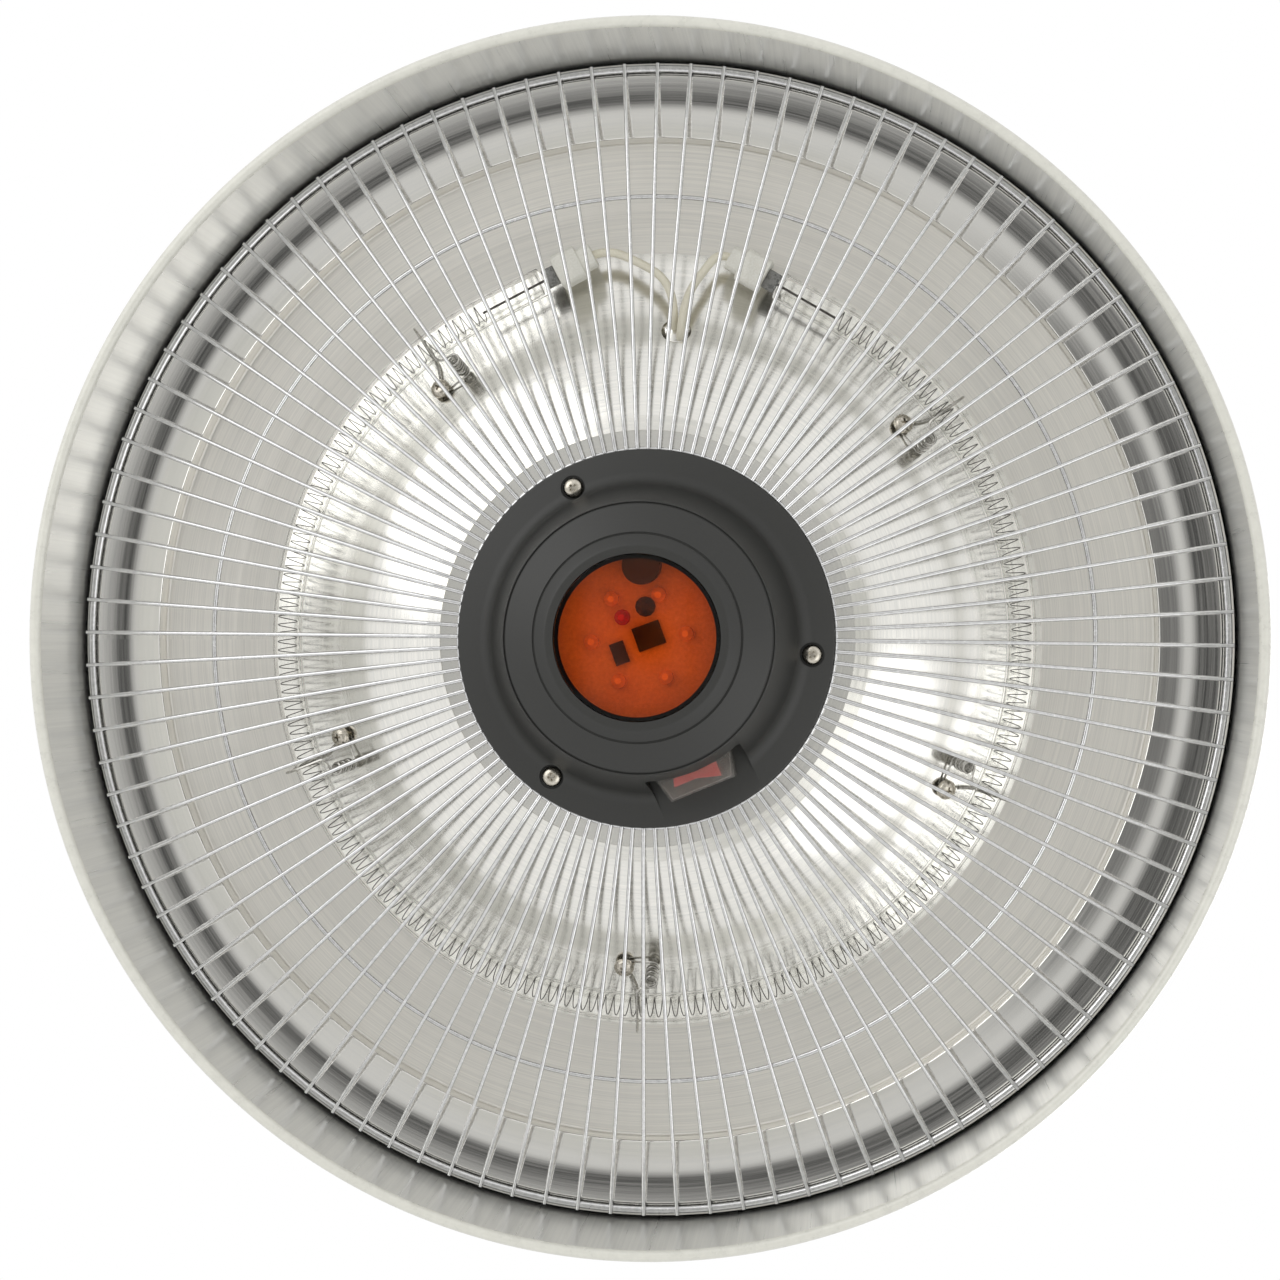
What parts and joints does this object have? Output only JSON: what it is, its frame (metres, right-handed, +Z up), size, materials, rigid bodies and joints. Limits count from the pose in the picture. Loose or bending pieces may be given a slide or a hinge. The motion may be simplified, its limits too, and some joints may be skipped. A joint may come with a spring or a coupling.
{
  "type": "ceiling infrared heater",
  "caption": "Ceiling-hung infrared heater: spun shade and stepped reflector, ring lamp behind a radial wire guard, black hub with a lens and a booted rocker, hung by an eye.",
  "frame": {"origin": "centre of the hanging eye's bore, where the heater hangs from its hook", "axes": "+Z up to the ceiling, the mouth facing -Z; +Y along the hanging eye's bore and away from the lamp's two ends; +X towards the cable gland"},
  "size_m": [0.4249, 0.425, 0.2103],
  "materials": {
    "shade_paint": "satin cream-white enamel outside, brushed inside",
    "reflector": "bright, spun, finely brushed in rings",
    "guard_wire": "polished wire",
    "quartz": "clear, glossy",
    "pinch": "grey, flattened",
    "filament": "dull dark wire",
    "ceramic": "white unglazed ceramic",
    "lead_sleeve": "cream, matt",
    "spring_steel": "bright drawn wire",
    "fastener": "nickel-plated",
    "hanger": "zinc-plated forging",
    "hub_plastic": "satin black moulding",
    "lens": "clear orange-red, glossy",
    "circuit_board": "laminate",
    "led": "clear resin",
    "led_red": "red resin",
    "part_black": "black moulding",
    "rocker_red": "glossy red moulding",
    "switch_black": "black moulding",
    "boot_clear": "clear soft plastic",
    "tab_brass": "bare",
    "seal_rubber": "matt black",
    "terminal_white": "white moulding",
    "gland_black": "black moulding"
  },
  "bodies": {
    "heater": {"outer_shade": "shade_paint", "top_cap": "shade_paint", "reflector_pan": "reflector", "guard_outer_ring": "guard_wire", "guard_middle_ring": "guard_wire", "guard_inner_ring": "guard_wire", "guard_radial_wires": "guard_wire", "quartz_tube": "quartz", "tube_pinches": "pinch", "filament": "filament", "lamp_cap_left": "ceramic", "lamp_cap_right": "ceramic", "lamp_lead_left": "lead_sleeve", "lamp_lead_right": "lead_sleeve", "hub_loom": "lead_sleeve", "tube_clips": "spring_steel", "clip_screws": "fastener", "hub_screws": "fastener", "board_screws": "fastener", "post_lower_screws": "fastener", "post_upper_screws": "fastener", "cap_screws": "fastener", "clip_nuts": "fastener", "hub_nuts": "fastener", "cap_nuts": "fastener", "eye_washers": "fastener", "eye_nuts": "fastener", "hanging_eye": "hanger", "stay_posts": "hanger", "hub_cover": "hub_plastic", "hub_lens": "lens", "led_board": "circuit_board", "power_board": "circuit_board", "board_leds": "led", "status_led": "led_red", "ir_receiver": "part_black", "board_chip": "part_black", "board_resistor": "part_black", "buzzer": "part_black", "power_relay": "part_black", "board_stands": "part_black", "switch_body": "switch_black", "switch_boot": "boot_clear", "switch_tabs": "tab_brass", "terminal_screws": "tab_brass", "hub_gasket": "seal_rubber", "cap_gasket": "seal_rubber", "hub_wire_bush": "seal_rubber", "shade_bush": "seal_rubber", "gland_seal": "seal_rubber", "terminal_block": "terminal_white", "gland_body": "gland_black", "gland_dome_nut": "gland_black", "gland_lock_nut": "gland_black"},
    "rocker": {"switch_rocker": "rocker_red"}
  },
  "joints": [
    {"name": "rocker_tilt", "type": "hinge", "parent": "heater", "child": "rocker", "pos_m": [0.0181, 0.04413, -0.171], "axis": [0, 0, 1], "range_deg": [-16, 0]}
  ]
}
